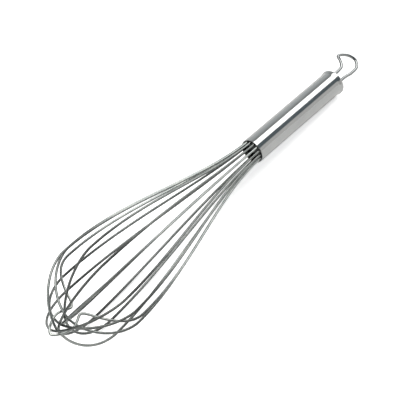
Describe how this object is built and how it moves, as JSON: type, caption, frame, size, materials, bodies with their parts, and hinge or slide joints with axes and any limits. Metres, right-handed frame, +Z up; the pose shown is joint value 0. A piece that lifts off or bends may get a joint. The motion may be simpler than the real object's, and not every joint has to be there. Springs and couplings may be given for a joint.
{
  "type": "balloon whisk",
  "caption": "Long steel kitchen whisk with a balloon of springy wire loops, a smooth tubular handle and a bent wire hook to hang it by.",
  "frame": {"origin": "middle of the whisk's bounding box, on the surface it lies on", "axes": "+Z up; +X runs along the whisk from the hook to the top of the balloon, which is raised 6.0 degrees because the whisk rests on its balloon and on the rear rim of its handle; +Y to its left"},
  "size_m": [0.3916, 0.0786, 0.0781],
  "materials": {
    "handle_steel": "satin",
    "spring_steel": "polished",
    "hook_steel": "mirror polished",
    "cap_steel": "satin",
    "core_resin": "matt"
  },
  "bodies": {
    "root": {"handle_tube": "handle_steel", "wire_core": "core_resin", "rear_cap": "cap_steel", "hanging_hook": "hook_steel", "whisk_wire_1": "spring_steel", "whisk_wire_2": "spring_steel", "whisk_wire_3": "spring_steel", "whisk_wire_4": "spring_steel", "whisk_wire_5": "spring_steel", "whisk_wire_6": "spring_steel", "whisk_wire_7": "spring_steel", "whisk_wire_8": "spring_steel"}
  },
  "joints": []
}
